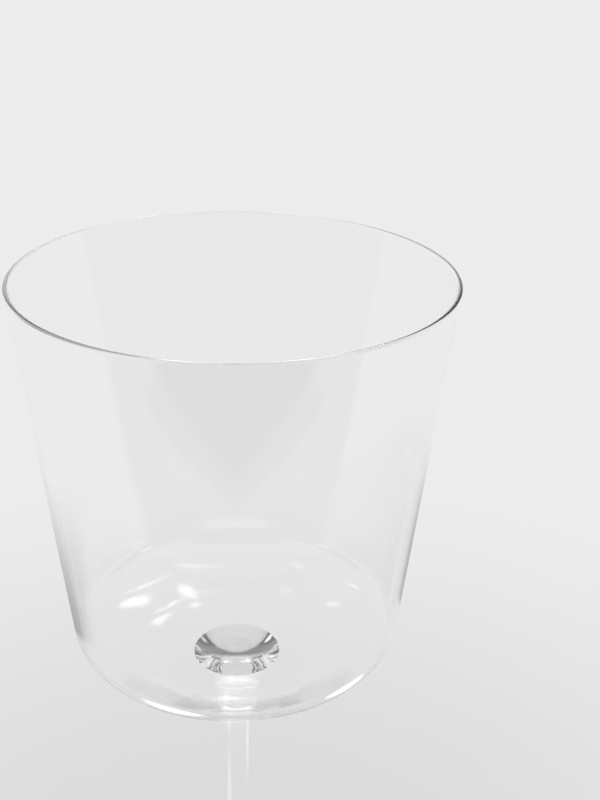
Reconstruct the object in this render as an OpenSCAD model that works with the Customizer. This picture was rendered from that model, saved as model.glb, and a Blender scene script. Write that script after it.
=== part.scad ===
// Stemmed water goblet of clear blown glass: a tapered bowl with a turned-in heel and a
// shallow domed floor, a drawn stem with a flared head, and a round foot.
// The axis is Z. The foot rests on the plane Z = 0 and the rim is uppermost.

/* [Bowl] */
// Outer diameter at the rim
rim_d = 86; // [76:1:96]
// Outer diameter at the lower end of the straight wall, where the heel begins
heel_d = 69.4; // [62:0.2:76]
// Height of the straight wall
wall_h = 75.4; // [55:0.2:95]
// Outer radius of the heel between the wall and the floor
heel_r = 6; // [3.5:0.5:9]
// Slope of the floor where it leaves the heel, in degrees
floor_slope = 28; // [18:1:36]
// Glass thickness at the rim
rim_t = 1; // [0.8:0.05:1.6]
// Glass thickness round the heel
heel_t = 0.95; // [0.7:0.05:1.6]
// Glass thickness of the floor on the axis
floor_t = 0.9; // [0.7:0.05:2]

/* [Stem] */
// Diameter of the plain stretch of the stem
stem_d = 6.2; // [5:0.1:8]
// Length of the stem, from the foot to the edge of the head
stem_l = 83.3; // [70:0.1:110]
// Diameter of the head, where it joins the bowl
head_d = 19; // [15:0.5:24]
// Length over which the head narrows to the stem
head_l = 23; // [14:0.5:28]
// Diameter of the lower end, where it joins the foot
base_d = 8.4; // [7:0.1:11]
// Length over which the lower end widens
base_l = 16; // [10:0.5:24]

/* [Foot] */
// Diameter of the foot
foot_d = 76; // [66:1:86]
// Height of the foot at its middle, where the stem stands on it
foot_h = 9; // [7:0.2:12]
// Thickness of the foot at its rounded edge
edge_t = 1.8; // [1.4:0.1:3]
// Width of the flat ring that the foot rests on
ring_w = 7; // [4:0.5:12]
// Height of the shallow hollow inside the ring
hollow_h = 1.2; // [0.6:0.1:2]

/* [Hidden] */

// Facets of a full turn, and straight steps along each curve
turn_facets = 180;
curve_steps = 16;

// Handles of the curves, as shares of the width and of the length that each one spans
head_shares = [[0.5, 0.28], [0.92, 0.42]];
base_shares = [[0, 0.5], [0.4, 0.75]];
foot_shares = [[0.03, 0.78], [0.2, 0.75]];
hollow_shares = [[0.3, 0.6], [0.6, 1]];
// Handles of the inner floor, as shares of its radius
floor_start_share = 0.26;
floor_end_share = 0.2;

// Radii
rim_r = rim_d / 2;
head_r = head_d / 2;
stem_r = stem_d / 2;
base_r = base_d / 2;
foot_r = foot_d / 2;
lip_r = rim_t / 2;
edge_r = edge_t / 2;

// Lean of the wall from upright, and the span of the heel in angles below the horizontal
wall_lean = atan((rim_r - heel_d / 2) / wall_h);
heel_end = 90 - floor_slope;

// Circle of the heel, and the sphere that the underside of the floor lies on
heel_c_r = heel_d / 2 - heel_r * cos(wall_lean);
dome_r = (heel_c_r + heel_r * cos(heel_end)) / sin(floor_slope);

// Levels, from the foot upwards
head_z = foot_h + stem_l;
dome_c_z = head_z + sqrt(dome_r * dome_r - head_r * head_r);
heel_c_z = dome_c_z - (dome_r - heel_r) * sin(heel_end);
wall_z = heel_c_z - heel_r * sin(wall_lean);
lip_z = wall_z + wall_h;
floor_z = dome_c_z - dome_r + floor_t;

// Inner radius of the heel, and the lean of the inner wall
heel_in_r = heel_r - heel_t;
inner_lean = atan((rim_r - rim_t - heel_c_r - heel_in_r * cos(wall_lean))
    / (lip_z - heel_c_z + heel_in_r * sin(wall_lean)));

// Part of an arc about [r, z], from one angle to another, with both ends
function arc(centre, radius, from, to) = [
    for (i = [0 : curve_steps])
        let (angle = from + (to - from) * i / curve_steps)
        centre + radius * [cos(angle), sin(angle)]
];

// Cubic curve from a to d with handles b and c, with both ends
function curve(a, b, c, d) = [
    for (i = [0 : curve_steps])
        let (t = i / curve_steps, u = 1 - t)
        u * u * u * a + 3 * u * u * t * b + 3 * u * t * t * c + t * t * t * d
];

// Cubic curve whose handles are shares of the way from a to d, in width and in height
function share_curve(a, d, shares) = curve(
    a,
    [a.x + (d.x - a.x) * shares[0].x, a.y + (d.y - a.y) * shares[0].y],
    [a.x + (d.x - a.x) * shares[1].x, a.y + (d.y - a.y) * shares[1].y],
    d
);

// A list without its first entry
function rest(points) = [for (i = [1 : len(points) - 1]) points[i]];

// Underside of the floor on its sphere, from the axis out to the head's edge
function seat() = arc([0, dome_c_z], dome_r, -90, -90 + asin(head_r / dome_r));

// Underside of the floor from the head's edge to the heel, then the heel up to the wall
function floor_outside() = concat(
    rest(arc([0, dome_c_z], dome_r, -90 + asin(head_r / dome_r), -heel_end)),
    rest(arc([heel_c_r, heel_c_z], heel_r, -heel_end, -wall_lean))
);

// Rounded lip, from the outer wall over the top to the inner wall
function lip() = arc([rim_r - lip_r, lip_z], lip_r, 0, 180);

// Inner heel from the wall to the floor, then the inner floor down to the axis
function floor_inside() =
    let (
        heel = arc([heel_c_r, heel_c_z], heel_in_r, -inner_lean, -heel_end),
        start = heel[curve_steps],
        reach = start.x * floor_start_share,
        slope = [cos(floor_slope), sin(floor_slope)],
        handle_in = start - reach * slope,
        handle_out = [start.x * floor_end_share, floor_z]
    )
    concat(heel, rest(curve(start, handle_in, handle_out, [0, floor_z])));

// Blown bowl, open at the top
module bowl() {
    color("aliceblue")
        rotate_extrude($fn = turn_facets)
            polygon(concat(seat(), floor_outside(), lip(), floor_inside()));
}

// Solid drawn stem, its cupped head fused to the domed underside of the bowl
module stem() {
    head = share_curve([head_r, head_z], [stem_r, head_z - head_l], head_shares);
    base = share_curve([stem_r, foot_h + base_l], [base_r, foot_h], base_shares);
    color("azure")
        rotate_extrude($fn = turn_facets)
            polygon(concat(seat(), rest(head), base, [[0, foot_h]]));
}

// Pressed round foot with a raised middle, fused to the lower end of the stem
module foot() {
    top = share_curve([base_r, foot_h], [foot_r - edge_r, edge_t], foot_shares);
    edge = arc([foot_r - edge_r, edge_r], edge_r, 90, -90);
    hollow = share_curve([foot_r - edge_r - ring_w, 0], [0, hollow_h], hollow_shares);
    color("lightcyan")
        rotate_extrude($fn = turn_facets)
            polygon(concat([[0, foot_h]], top, rest(edge), hollow));
}

bowl();
stem();
foot();
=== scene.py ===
import math
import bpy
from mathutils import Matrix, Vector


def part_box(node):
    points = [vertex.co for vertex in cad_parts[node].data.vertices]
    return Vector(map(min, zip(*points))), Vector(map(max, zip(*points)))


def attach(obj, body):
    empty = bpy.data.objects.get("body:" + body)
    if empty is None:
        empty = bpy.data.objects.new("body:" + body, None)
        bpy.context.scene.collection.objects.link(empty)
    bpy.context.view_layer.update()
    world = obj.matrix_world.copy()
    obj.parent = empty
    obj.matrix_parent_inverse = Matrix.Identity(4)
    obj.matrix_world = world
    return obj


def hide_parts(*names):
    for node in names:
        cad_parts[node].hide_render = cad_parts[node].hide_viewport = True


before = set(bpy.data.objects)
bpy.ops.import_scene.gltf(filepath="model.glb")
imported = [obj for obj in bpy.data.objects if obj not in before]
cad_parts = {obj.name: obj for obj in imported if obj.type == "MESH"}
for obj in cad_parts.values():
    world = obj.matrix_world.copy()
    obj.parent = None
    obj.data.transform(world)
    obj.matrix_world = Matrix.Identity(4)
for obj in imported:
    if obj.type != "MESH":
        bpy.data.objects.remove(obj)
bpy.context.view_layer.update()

from types import SimpleNamespace

import bmesh
import bpy
from mathutils import Matrix, Quaternion, Vector

scene = bpy.context.scene

# Main sizes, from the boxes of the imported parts. Lengths are in metres and angles in degrees.
rim_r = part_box("bowl")[1].x
rim_top_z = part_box("bowl")[1].z
head_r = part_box("stem")[1].x
head_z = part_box("stem")[1].z
foot_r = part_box("foot")[1].x
foot_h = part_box("foot")[1].z

# Sizes of the bowl that its box doesn't give, and handles of its inner floor as shares of its radius
HEEL_D = 0.0694
WALL_H = 0.0754
HEEL_R = 0.006
BOWL_FLOOR_SLOPE = 28
RIM_T = 0.001
HEEL_T = 0.00095
BOWL_FLOOR_T = 0.0009
BOWL_FLOOR_START_SHARE = 0.26
BOWL_FLOOR_END_SHARE = 0.2

# Sizes of the stem, and handles of its curves as shares of the width and length that they span
STEM_D = 0.0062
HEAD_L = 0.023
BASE_D = 0.0084
BASE_L = 0.016
HEAD_SHARES = ((0.5, 0.28), (0.92, 0.42))
BASE_SHARES = ((0, 0.5), (0.4, 0.75))

# Sizes of the foot, and handles of its curves as shares of the width and height that they span
EDGE_T = 0.0018
RING_W = 0.007
HOLLOW_H = 0.0012
FOOT_SHARES = ((0.03, 0.78), (0.2, 0.75))
HOLLOW_SHARES = ((0.3, 0.6), (0.6, 1))

# Steps of the turned meshes, and the fold that stays a sharp edge
TURN_STEPS = 432
CURVE_STEPS = 32
LIP_STEPS = 48
WALL_STEPS = 2
SHARP_ANGLE = 7

# Gap below which two points are one, and gap below which a face lies on a fused seam
TOUCH = 1e-9
SEAM_GAP = 0.000225

# Camera: place and turn, from the outlines of the rim, the walls and the heel
CAMERA_BACK = 0.2102
CAMERA_ABOVE_RIM = 0.0726
CAMERA_YAW = 3.5
CAMERA_PITCH = 25.2
CAMERA_ROLL = -1.2
FOCAL_SHARE = 1.456
SENSOR_W_MM = 36
CLIP_START = 0.001

# Glass: colour, index, upright striae as bumps per metre with their depth, and roughness of the polish
GLASS_COLOUR = (1, 1, 1)
GLASS_IOR = 1.52
STRIA_SCALE = (350, 350, 10)
STRIA_DETAIL = 2
STRIA_DEPTH = 0.00001
POLISH = (0, 0.05)

# Tint of lamplight that passes through the glass, and of rays that have met more faces than a limit
SHADOW_TINT = (0.955, 0.955, 0.957)
TRAPPED_TINT = (0.5, 0.5, 0.52)
TRAPPED_DEPTH = 24

# Floor: it fades into the far colour between two distances from its middle
FLOOR_GAP = 0.00003
FLOOR_R = 8
FLOOR_MIDDLE = (0, 0, 0)
FLOOR_COLOUR = (0.82, 0.82, 0.83)
FLOOR_ROUGHNESS = 0.8
FAR_COLOUR = (0.84, 0.84, 0.845)
FLOOR_FADE = (0.03, 0.26)

# Painted shade on the floor that shows only where the glass mirrors it. Pairs run from no shade to full
# shade.
PAINTED_SHADE_COLOUR = (0.06, 0.06, 0.06)
# Number of faces met that parts the rays off the front wall from the deeper ones
FRONT_DEPTH = 4.5
# Zone in front that the front wall mirrors, with the slope and the depth of its pointed edge
FRONT_START = (-0.209, -0.229)
FRONT_SLOPE_SHARE = 0.18
FRONT_POINT = 0.014
FRONT_WIDTH = (0.25, 0.2)
FRONT_END = (-0.5, -0.4)
# Zone that the back wall mirrors as an upright strip
BACK_REACH = (0.04, 0.06)
BACK_START = (-0.045, -0.105)
BACK_SHADE_SHARE = 0.85
# Half-dark zone beside the goblet, towards the back
NEAR_MIDDLE = (0.015, 0, 0)
NEAR_START = (0.149, 0.156)
FADE_MIDDLE = (0.045, 0, 0)
NEAR_FADE = (0.285, 0.165)
NEAR_SHARES = (0.08, 0.25)
NEAR_TILT_SHARE = -0.25
NEAR_BACK_SHARES = (0.4, 0.8)
NEAR_SHADE_SHARE = 0.5
# Zone at the left that the lip shows, by rays that run down inside the wall and meet many faces
LIP_DEPTH = 6.5
LIP_SIDE = (-0.04, -0.08)
LIP_REACH = (0.45, 0.35)
LIP_SHADE_SHARE = 0.65

# Painted glow: a bright ring of floor that the lip shows, seen only where the glass mirrors it, from its
# inner to its outer edge
LIP_GLOW_START = (0.038, 0.05)
LIP_GLOW_END = (0.09, 0.06)
LIP_PAINTED_GLOW_COLOUR = (1.5, 1.5, 1.5)

# Painted glows on the floor, seen only where the glass mirrors it, that stand in for light the bowl
# gathers; from the dim edge to the full light
PAINTED_GLOW_SPOTS = ((-0.047, -0.015, 0), (0.085, 0.01, 0))
PAINTED_GLOW_EDGE = (0.03, 0.012)
PAINTED_GLOW_COLOUR = (2.2, 2.2, 2.2)

# Surroundings of deeper mirrored rays: dim, turning to a pale top between two elevations
DIM_COLOUR = (0.08, 0.08, 0.08)
TOP_COLOUR = (0.75, 0.75, 0.76)
TOP_HEIGHTS = (8, 35)

# Cards that only the glass mirrors: azimuths, elevations, width of the soft edge, colour
REAR_CARDS = (
    ((140, 200), (5, 75), 12, (0.1, 0.1, 0.1)),
    ((-200, -140), (5, 75), 12, (0.1, 0.1, 0.1)),
)
OUTER_CARDS = (
    ((8, 60), (-10, 35), 8, (0.06, 0.06, 0.06)),
    ((-70, 0), (2, 22), 8, (1.3, 1.4, 1.5)),
)
INNER_CARDS = (
    ((-75, 75), (-10, 60), 10, (0.8, 0.8, 0.8)),
    ((-2, 2), (13, 15.5), 1, (3, 3, 3)),
    ((0, 1), (5, 7), 1, (4, 4, 4)),
    ((106, 116), (3, 12), 2, (2, 2, 2)),
    ((-118, -108), (3, 9), 2, (2, 2, 2)),
)

# Lamps: name, azimuth from straight ahead to the right, elevation, turn, width and height, radiance
LAMPS = (
    ("soft_box_high", 26, 67.5, -60, (0.045, 0.34), 9),
    ("soft_box_right", 30, 53, -3, (0.032, 0.5), 7),
    ("soft_box_middle", 19.5, 58, 0, (0.1, 0.13), 8),
    ("soft_box_low", 25, 45, 0, (0.09, 0.3), 8),
    ("soft_box_left_high", -34, 64, 0, (0.08, 0.2), 4),
    ("soft_box_left_low", -36, 44, 0, (0.08, 0.2), 4),
)

# Distance of the lamps, and the shares of their faces over which their light fades out from the middle
LAMP_DISTANCE = 1.3
LAMP_MIDDLE_SHARES = (0.5, 0.5, 0)
LAMP_EDGE_SHARES = (0.5, 0.1)

# Bounces of light that the glass needs
GLASS_BOUNCES = 48
CLEAR_BOUNCES = 64


# Sine of an angle in degrees
def sin(angle):
    return math.sin(math.radians(angle))


# Cosine of an angle in degrees
def cos(angle):
    return math.cos(math.radians(angle))


# Unit vector to an azimuth from straight ahead to the right, and an elevation
def direction(azimuth, elevation):
    return Vector((sin(azimuth) * cos(elevation), cos(azimuth) * cos(elevation), sin(elevation)))


# Points of an arc about (r, z), from one angle to another, with both ends
def arc(centre, radius, start, end, steps):
    angles = [start + (end - start) * i / steps for i in range(steps + 1)]
    return [(centre[0] + radius * cos(angle), centre[1] + radius * sin(angle)) for angle in angles]


# Cubic curve from a to d with handles b and c, with both ends
def curve(a, b, c, d):
    points = []
    for i in range(CURVE_STEPS + 1):
        t = i / CURVE_STEPS
        u = 1 - t
        weights = (u ** 3, 3 * u * u * t, 3 * u * t * t, t ** 3)
        points.append(tuple(sum(w * p[k] for w, p in zip(weights, (a, b, c, d))) for k in (0, 1)))
    return points


# Cubic curve whose handles are shares of the way from a to d, in width and in height
def share_curve(a, d, shares):
    handles = [tuple(a[k] + (d[k] - a[k]) * share[k] for k in (0, 1)) for share in shares]
    return curve(a, handles[0], handles[1], d)


# Straight run from a to b, with both ends
def straight(a, b):
    return [
        (a[0] + (b[0] - a[0]) * i / WALL_STEPS, a[1] + (b[1] - a[1]) * i / WALL_STEPS)
        for i in range(WALL_STEPS + 1)
    ]


# Joins runs of points, dropping each first point that repeats the last one
def join(*runs):
    points = list(runs[0])
    for run in runs[1:]:
        repeats = math.dist(points[-1], run[0]) < TOUCH
        points += run[1:] if repeats else run
    return points


# Circle of the heel and sphere of the floor's underside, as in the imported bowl
lip_r = RIM_T / 2
lip_z = rim_top_z - lip_r
wall_lean = math.degrees(math.atan((rim_r - HEEL_D / 2) / WALL_H))
heel_end = 90 - BOWL_FLOOR_SLOPE
heel_c_r = HEEL_D / 2 - HEEL_R * cos(wall_lean)
dome_r = (heel_c_r + HEEL_R * cos(heel_end)) / sin(BOWL_FLOOR_SLOPE)
dome_c_z = head_z + math.sqrt(dome_r ** 2 - head_r ** 2)
heel_c_z = dome_c_z - (dome_r - HEEL_R) * sin(heel_end)
heel_in_r = HEEL_R - HEEL_T
inner_lean = math.degrees(math.atan(
    (rim_r - RIM_T - heel_c_r - heel_in_r * cos(wall_lean))
    / (lip_z - heel_c_z + heel_in_r * sin(wall_lean))
))
seat_end = -90 + math.degrees(math.asin(head_r / dome_r))
seat = arc((0, dome_c_z), dome_r, -90, seat_end, CURVE_STEPS)


# Outline of the bowl, from the axis under the floor, up the outside and down the inside
def bowl_outline():
    dome = arc((0, dome_c_z), dome_r, seat_end, -heel_end, CURVE_STEPS)
    heel = arc((heel_c_r, heel_c_z), HEEL_R, -heel_end, -wall_lean, CURVE_STEPS)
    lip = arc((rim_r - lip_r, lip_z), lip_r, 0, 180, LIP_STEPS)
    inner_heel = arc((heel_c_r, heel_c_z), heel_in_r, -inner_lean, -heel_end, CURVE_STEPS)
    start = inner_heel[-1]
    reach = start[0] * BOWL_FLOOR_START_SHARE
    floor_z = dome_c_z - dome_r + BOWL_FLOOR_T
    inner_floor = curve(
        start,
        (start[0] - reach * cos(BOWL_FLOOR_SLOPE), start[1] - reach * sin(BOWL_FLOOR_SLOPE)),
        (start[0] * BOWL_FLOOR_END_SHARE, floor_z),
        (0, floor_z),
    )
    outer_wall = straight(heel[-1], lip[0])
    inner_wall = straight(lip[-1], inner_heel[0])
    return join(seat, dome, heel, outer_wall, lip, inner_wall, inner_heel, inner_floor)


# Outline of the stem, from the axis at its cupped top down to the axis at the foot
def stem_outline():
    stem_r = STEM_D / 2
    base_r = BASE_D / 2
    head = share_curve((head_r, head_z), (stem_r, head_z - HEAD_L), HEAD_SHARES)
    base = share_curve((stem_r, foot_h + BASE_L), (base_r, foot_h), BASE_SHARES)
    return join(seat, head, straight(head[-1], base[0]), base, [(0, foot_h)])


# Outline of the foot, from the axis on top, out over the edge and back underneath
def foot_outline():
    edge_r = EDGE_T / 2
    edge_c_r = foot_r - edge_r
    top = share_curve((BASE_D / 2, foot_h), (edge_c_r, EDGE_T), FOOT_SHARES)
    edge = arc((edge_c_r, edge_r), edge_r, 90, -90, LIP_STEPS)
    hollow = share_curve((edge_c_r - RING_W, 0), (0, HOLLOW_H), HOLLOW_SHARES)
    return join([(0, foot_h)], top, edge, hollow)


# Turns an outline round Z into a closed mesh
def turned(name, outline):
    mesh = bpy.data.meshes.new(name)
    body = bmesh.new()
    angles = [math.tau * i / TURN_STEPS for i in range(TURN_STEPS)]
    rings = []
    for r, z in outline:
        if r < TOUCH:
            rings.append([body.verts.new((0, 0, z))])
            continue
        rings.append([body.verts.new((r * math.cos(a), r * math.sin(a), z)) for a in angles])
    for low, high in zip(rings, rings[1:]):
        for i in range(TURN_STEPS):
            j = (i + 1) % TURN_STEPS
            corners = [low[i % len(low)], low[j % len(low)], high[j % len(high)], high[i % len(high)]]
            body.faces.new(list(dict.fromkeys(corners)))
    bmesh.ops.recalc_face_normals(body, faces=body.faces)
    body.to_mesh(mesh)
    body.free()
    mesh.shade_smooth()
    mesh.set_sharp_from_angle(angle=math.radians(SHARP_ANGLE))
    piece = bpy.data.objects.new(name, mesh)
    scene.collection.objects.link(piece)
    return piece


# Node of one kind, with links, opaque colours or other values for its named or numbered inputs
def node(tree, kind, inputs=None, **settings):
    made = tree.nodes.new("ShaderNode" + kind)
    for name, value in settings.items():
        setattr(made, name, value)
    for key, value in (inputs or {}).items():
        socket = made.inputs[key]
        if isinstance(value, bpy.types.NodeSocket):
            tree.links.new(value, socket)
        else:
            socket.default_value = (*value, 1) if socket.type == "RGBA" else value
    return made


# Result of a mathematical operation on one or two values
def calc(tree, operation, a, b=0):
    return node(tree, "Math", {0: a, 1: b}, operation=operation).outputs["Value"]


# Product of values
def product(tree, first, *others):
    for other in others:
        first = calc(tree, "MULTIPLY", first, other)
    return first


# Smooth step of a value, from 0 at low to 1 at high
def step(tree, value, low, high):
    inputs = {"Value": value, "From Min": low, "From Max": high}
    return node(tree, "MapRange", inputs, interpolation_type="SMOOTHSTEP").outputs["Result"]


# 1 where a value lies between two limits, with soft edges
def between(tree, value, limits, blur):
    low, high = limits
    above = step(tree, value, low - blur, low + blur)
    below = step(tree, value, high + blur, high - blur)
    return product(tree, above, below)


# Distance of a place from a point
def distance_to(tree, place, point):
    return node(tree, "VectorMath", {0: place, 1: point}, operation="DISTANCE").outputs["Value"]


# Mix of two shaders, from a to b
def mix_shader(tree, factor, a, b):
    return node(tree, "MixShader", {0: factor, 1: a, 2: b}).outputs["Shader"]


# Mix of two colours, from a to b
def mix_colour(tree, factor, a, b):
    return node(tree, "Mix", {"Factor": factor, "A": a, "B": b}, data_type="RGBA").outputs["Result"]


# Plain glow of a colour
def emission(tree, colour):
    return node(tree, "Emission", {"Color": colour}).outputs["Emission"]


# Clear glass with faint striae and uneven polish. Lamps shine through it, and trapped rays leave it dimmed.
def clear_glass():
    material = bpy.data.materials.new("clear_glass")
    material.use_nodes = True
    tree = material.node_tree
    shader = tree.nodes["Principled BSDF"]
    shader.inputs["Base Color"].default_value = (*GLASS_COLOUR, 1)
    shader.inputs["Transmission Weight"].default_value = 1
    shader.inputs["IOR"].default_value = GLASS_IOR
    place = node(tree, "TexCoord").outputs["Object"]
    stretched = node(tree, "Mapping", {"Vector": place, "Scale": STRIA_SCALE}).outputs["Vector"]
    noise = node(tree, "TexNoise", {"Vector": stretched, "Scale": 1, "Detail": STRIA_DETAIL})
    striae = noise.outputs["Fac"]
    bump = node(tree, "Bump", {"Height": striae, "Distance": STRIA_DEPTH, "Strength": 1})
    tree.links.new(bump.outputs["Normal"], shader.inputs["Normal"])
    polish = node(tree, "MapRange", {"Value": striae, "To Min": POLISH[0], "To Max": POLISH[1]})
    tree.links.new(polish.outputs["Result"], shader.inputs["Roughness"])
    path = node(tree, "LightPath")
    lit = calc(tree, "MAXIMUM", path.outputs["Is Shadow Ray"], path.outputs["Is Diffuse Ray"])
    trapped = calc(tree, "GREATER_THAN", path.outputs["Ray Depth"], TRAPPED_DEPTH)
    tint = mix_colour(tree, lit, TRAPPED_TINT, SHADOW_TINT)
    passing = node(tree, "BsdfTransparent", {"Color": tint}).outputs["BSDF"]
    shown = mix_shader(tree, calc(tree, "MAXIMUM", lit, trapped), shader.outputs["BSDF"], passing)
    tree.links.new(shown, tree.nodes["Material Output"].inputs["Surface"])
    return material


# Pass-through skin for the hidden faces where two pieces of glass are fused
def fused_seam():
    material = bpy.data.materials.new("fused_seam")
    material.use_nodes = True
    tree = material.node_tree
    tree.nodes.remove(tree.nodes["Principled BSDF"])
    shader = node(tree, "BsdfTransparent")
    tree.links.new(shader.outputs["BSDF"], tree.nodes["Material Output"].inputs["Surface"])
    return material


glass = clear_glass()
seam = fused_seam()


# Gives a piece its glass, and the seam skin to the faces that lie on a fused seam
def glaze(piece, on_seam):
    piece.data.materials.append(glass)
    piece.data.materials.append(seam)
    for face in piece.data.polygons:
        face.material_index = int(on_seam(face.center))


# Whether a point lies on the seam of the bowl and the stem
def on_seat(point):
    level = dome_c_z - math.sqrt(dome_r ** 2 - point.x ** 2 - point.y ** 2)
    return math.hypot(point.x, point.y) < head_r and abs(point.z - level) < SEAM_GAP


# Whether a point lies on the seam of the stem and the foot
def on_foot_top(point):
    return math.hypot(point.x, point.y) < BASE_D / 2 and abs(point.z - foot_h) < SEAM_GAP


bowl = turned("goblet_bowl", bowl_outline())
stem = turned("goblet_stem", stem_outline())
foot = turned("goblet_foot", foot_outline())
glaze(bowl, on_seat)
glaze(stem, lambda point: on_seat(point) or on_foot_top(point))
glaze(foot, on_foot_top)
for piece, name in ((bowl, "bowl"), (stem, "stem"), (foot, "foot")):
    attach(piece, "root")
    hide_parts(name)


# Camera in front of the goblet and above its rim, looking down at it
def make_camera():
    data = bpy.data.cameras.new("camera")
    data.sensor_width = SENSOR_W_MM
    data.lens = FOCAL_SHARE * SENSOR_W_MM
    data.clip_start = CLIP_START
    camera = bpy.data.objects.new("camera", data)
    scene.collection.objects.link(camera)
    level = Vector((cos(CAMERA_YAW), -sin(CAMERA_YAW), 0))
    forward = Vector((sin(CAMERA_YAW), cos(CAMERA_YAW), 0))
    ahead = forward * cos(CAMERA_PITCH) - Vector((0, 0, sin(CAMERA_PITCH)))
    down = ahead.cross(level)
    across = level * cos(CAMERA_ROLL) + down * sin(CAMERA_ROLL)
    up = level * sin(CAMERA_ROLL) - down * cos(CAMERA_ROLL)
    turn = Matrix((across, up, -ahead)).transposed().to_4x4()
    camera.matrix_world = Matrix.Translation((0, -CAMERA_BACK, rim_top_z + CAMERA_ABOVE_RIM)) @ turn
    scene.camera = camera


# 1 for rays that the glass has mirrored at least once, unless they light a matt surface
def mirrored(tree):
    path = node(tree, "LightPath")
    turned_back = calc(tree, "GREATER_THAN", path.outputs["Glossy Depth"], 0)
    return calc(tree, "GREATER_THAN", turned_back, path.outputs["Diffuse Depth"])


# 1 for rays that have met more faces of glass than a limit
def deeper_than(tree, limit):
    return calc(tree, "GREATER_THAN", node(tree, "LightPath").outputs["Ray Depth"], limit)


# Place on the floor, and how far it is to the side and from the middle
def floor_spot(tree):
    place = node(tree, "NewGeometry").outputs["Position"]
    axes = node(tree, "SeparateXYZ", {"Vector": place}).outputs
    return SimpleNamespace(
        place=place,
        x=axes["X"],
        y=axes["Y"],
        off_axis=calc(tree, "ABSOLUTE", axes["X"]),
        distance=distance_to(tree, place, FLOOR_MIDDLE),
    )


# Shade in front of the goblet that the front wall mirrors, with a pointed edge
def front_zone(tree, spot):
    point = calc(tree, "MINIMUM", product(tree, spot.off_axis, FRONT_SLOPE_SHARE), FRONT_POINT)
    return product(
        tree,
        step(tree, calc(tree, "ADD", spot.y, point), *FRONT_START),
        step(tree, spot.off_axis, *FRONT_WIDTH),
        step(tree, spot.y, *FRONT_END),
        calc(tree, "SUBTRACT", 1, deeper_than(tree, FRONT_DEPTH)),
    )


# Shade in front of the goblet that the back wall mirrors as an upright strip
def back_zone(tree, spot):
    return product(
        tree,
        step(tree, spot.distance, *BACK_REACH),
        step(tree, spot.y, *BACK_START),
        deeper_than(tree, FRONT_DEPTH),
        BACK_SHADE_SHARE,
    )


# Half shade beside the goblet, towards the back
def near_zone(tree, spot):
    tilted = calc(tree, "ADD", spot.y, product(tree, spot.x, NEAR_TILT_SHARE))
    return product(
        tree,
        step(tree, distance_to(tree, spot.place, NEAR_MIDDLE), *NEAR_START),
        step(tree, distance_to(tree, spot.place, FADE_MIDDLE), *NEAR_FADE),
        step(tree, calc(tree, "DIVIDE", spot.off_axis, spot.distance), *NEAR_SHARES),
        step(tree, calc(tree, "DIVIDE", tilted, spot.distance), *NEAR_BACK_SHARES),
        NEAR_SHADE_SHARE,
    )


# Shade at the left that the lip shows
def lip_zone(tree, spot):
    return product(
        tree,
        step(tree, spot.x, *LIP_SIDE),
        step(tree, spot.distance, *LIP_REACH),
        deeper_than(tree, LIP_DEPTH),
        LIP_SHADE_SHARE,
    )


# Painted glow: a bright ring round the foot that the lip shows
def lip_painted_glow(tree, spot):
    return product(
        tree,
        step(tree, spot.distance, *LIP_GLOW_START),
        step(tree, spot.distance, *LIP_GLOW_END),
        deeper_than(tree, LIP_DEPTH),
    )


# Pale paint that fades into the far colour. What the glass mirrors of it has painted shade zones and
# painted glows.
def pale_floor():
    material = bpy.data.materials.new("pale_floor")
    material.use_nodes = True
    tree = material.node_tree
    paint = tree.nodes["Principled BSDF"]
    paint.inputs["Base Color"].default_value = (*FLOOR_COLOUR, 1)
    paint.inputs["Roughness"].default_value = FLOOR_ROUGHNESS
    paint.inputs["Specular IOR Level"].default_value = 0
    spot = floor_spot(tree)
    fade = step(tree, spot.distance, *FLOOR_FADE)
    shown = mix_shader(tree, fade, paint.outputs["BSDF"], emission(tree, FAR_COLOUR))
    shade = front_zone(tree, spot)
    for zone in (back_zone, near_zone, lip_zone):
        shade = calc(tree, "MAXIMUM", shade, zone(tree, spot))
    layers = [(shade, PAINTED_SHADE_COLOUR), (lip_painted_glow(tree, spot), LIP_PAINTED_GLOW_COLOUR)]
    # Painted glows that stand in for light the bowl gathers on the floor
    for middle in PAINTED_GLOW_SPOTS:
        layers.append((step(tree, distance_to(tree, spot.place, middle), *PAINTED_GLOW_EDGE), PAINTED_GLOW_COLOUR))
    seen = mirrored(tree)
    for layer, colour in layers:
        shown = mix_shader(tree, product(tree, layer, seen), shown, emission(tree, colour))
    tree.links.new(shown, tree.nodes["Material Output"].inputs["Surface"])
    return material


# Round floor that the goblet stands on
def make_floor():
    mesh = bpy.data.meshes.new("floor")
    body = bmesh.new()
    bmesh.ops.create_circle(body, cap_ends=True, segments=TURN_STEPS, radius=FLOOR_R)
    body.to_mesh(mesh)
    body.free()
    mesh.materials.append(pale_floor())
    floor = bpy.data.objects.new("floor", mesh)
    floor.location.z = -FLOOR_GAP
    scene.collection.objects.link(floor)


# Colour of the surroundings with cards in them
def hang_cards(tree, colour, cards, azimuth, elevation):
    for azimuths, elevations, blur, card_colour in cards:
        across = between(tree, azimuth, azimuths, blur)
        upright = between(tree, elevation, elevations, blur)
        colour = mix_colour(tree, product(tree, across, upright), colour, card_colour)
    return colour


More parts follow.
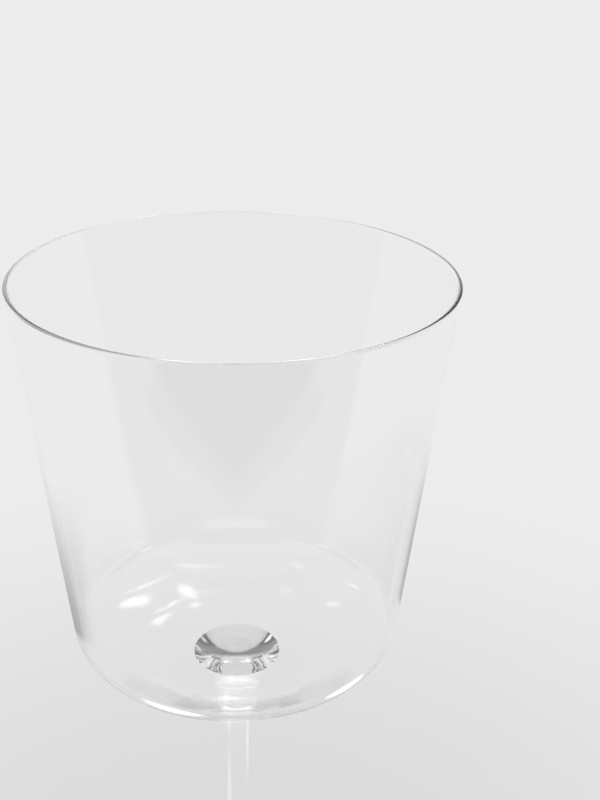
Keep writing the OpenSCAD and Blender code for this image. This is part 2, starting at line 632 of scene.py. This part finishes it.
# Surroundings: pale all round, with other ones for what the glass mirrors
def make_world():
    world = bpy.data.worlds.new("studio")
    world.use_nodes = True
    world.cycles.sampling_method = "NONE"
    scene.world = world
    tree = world.node_tree
    way = node(tree, "SeparateXYZ", {"Vector": node(tree, "TexCoord").outputs["Generated"]})
    azimuth = calc(tree, "DEGREES", calc(tree, "ARCTAN2", way.outputs["X"], way.outputs["Y"]))
    elevation = calc(tree, "DEGREES", calc(tree, "ARCSINE", way.outputs["Z"]))
    dim = mix_colour(tree, step(tree, elevation, *TOP_HEIGHTS), DIM_COLOUR, TOP_COLOUR)
    outer = hang_cards(tree, FAR_COLOUR, OUTER_CARDS + REAR_CARDS, azimuth, elevation)
    inner = hang_cards(tree, dim, INNER_CARDS + REAR_CARDS, azimuth, elevation)
    in_glass = mix_colour(tree, deeper_than(tree, FRONT_DEPTH), outer, inner)
    shown = mix_colour(tree, mirrored(tree), FAR_COLOUR, in_glass)
    tree.links.new(shown, tree.nodes["Background"].inputs["Color"])


# Soft box in a direction from the bowl, facing it
def soft_box(name, azimuth, elevation, turn, size, radiance):
    data = bpy.data.lights.new(name, "AREA")
    data.shape = "RECTANGLE"
    data.size = size[0]
    data.size_y = size[1]
    data.energy = radiance * math.pi * size[0] * size[1]
    data.use_nodes = True
    tree = data.node_tree
    place = node(tree, "NewGeometry").outputs["Parametric"]
    strength = step(tree, distance_to(tree, place, LAMP_MIDDLE_SHARES), *LAMP_EDGE_SHARES)
    tree.links.new(strength, tree.nodes["Emission"].inputs["Strength"])
    lamp = bpy.data.objects.new(name, data)
    bowl_middle = Vector((0, 0, (head_z + rim_top_z) / 2))
    way = direction(azimuth, elevation)
    lamp.location = bowl_middle + way * LAMP_DISTANCE
    facing = (-way).to_track_quat("-Z", "Y")
    lamp.rotation_euler = (facing @ Quaternion((0, 0, 1), math.radians(turn))).to_euler()
    scene.collection.objects.link(lamp)


make_camera()
make_floor()
make_world()
for lamp in LAMPS:
    soft_box(*lamp)

# Render settings that the glass needs
scene.view_settings.view_transform = "Standard"
scene.cycles.max_bounces = GLASS_BOUNCES
scene.cycles.transmission_bounces = GLASS_BOUNCES
scene.cycles.glossy_bounces = GLASS_BOUNCES
scene.cycles.transparent_max_bounces = CLEAR_BOUNCES
scene.cycles.use_denoising = True
